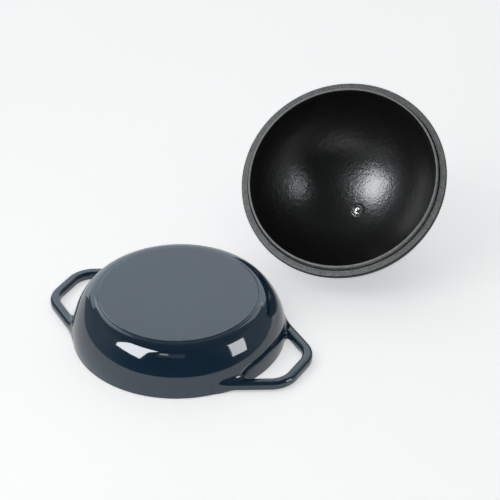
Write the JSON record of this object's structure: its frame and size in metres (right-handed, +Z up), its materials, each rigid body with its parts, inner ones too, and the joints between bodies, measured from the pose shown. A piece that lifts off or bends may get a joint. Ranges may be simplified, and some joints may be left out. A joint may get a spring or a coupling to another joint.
{
  "type": "tagine pot",
  "caption": "Enamelled cast-iron tagine: shallow pan with loop handles standing upside down, and a deep domed lid with a knob lying beside it.",
  "frame": {"origin": "on the surface that the pan and the lid rest on, below the middle of the pair's bounding box", "axes": "+Z up, out of the pan's upturned base; +Y towards the back, where the lid lies; +X to the right"},
  "size_m": [0.5298, 0.4431, 0.2138],
  "materials": {
    "pan_casting": "gloss enamel",
    "lid_casting": "satin enamel",
    "gasket": "matte",
    "knob": "satin",
    "insert": "machined",
    "screw": "polished",
    "washer": "satin",
    "spring": "dark spring steel"
  },
  "bodies": {
    "pan": {"base_pan": "pan_casting"},
    "lid": {"lid_dome": "lid_casting", "knob_gasket": "gasket", "knob": "knob", "knob_insert": "insert", "knob_screw": "screw", "flat_washer": "washer", "spring_washer": "spring"}
  },
  "joints": [
    {"name": "lid_lift", "type": "slide", "parent": "pan", "child": "lid", "axis": [0, 0, 1], "range_m": [0, 0.3]}
  ]
}
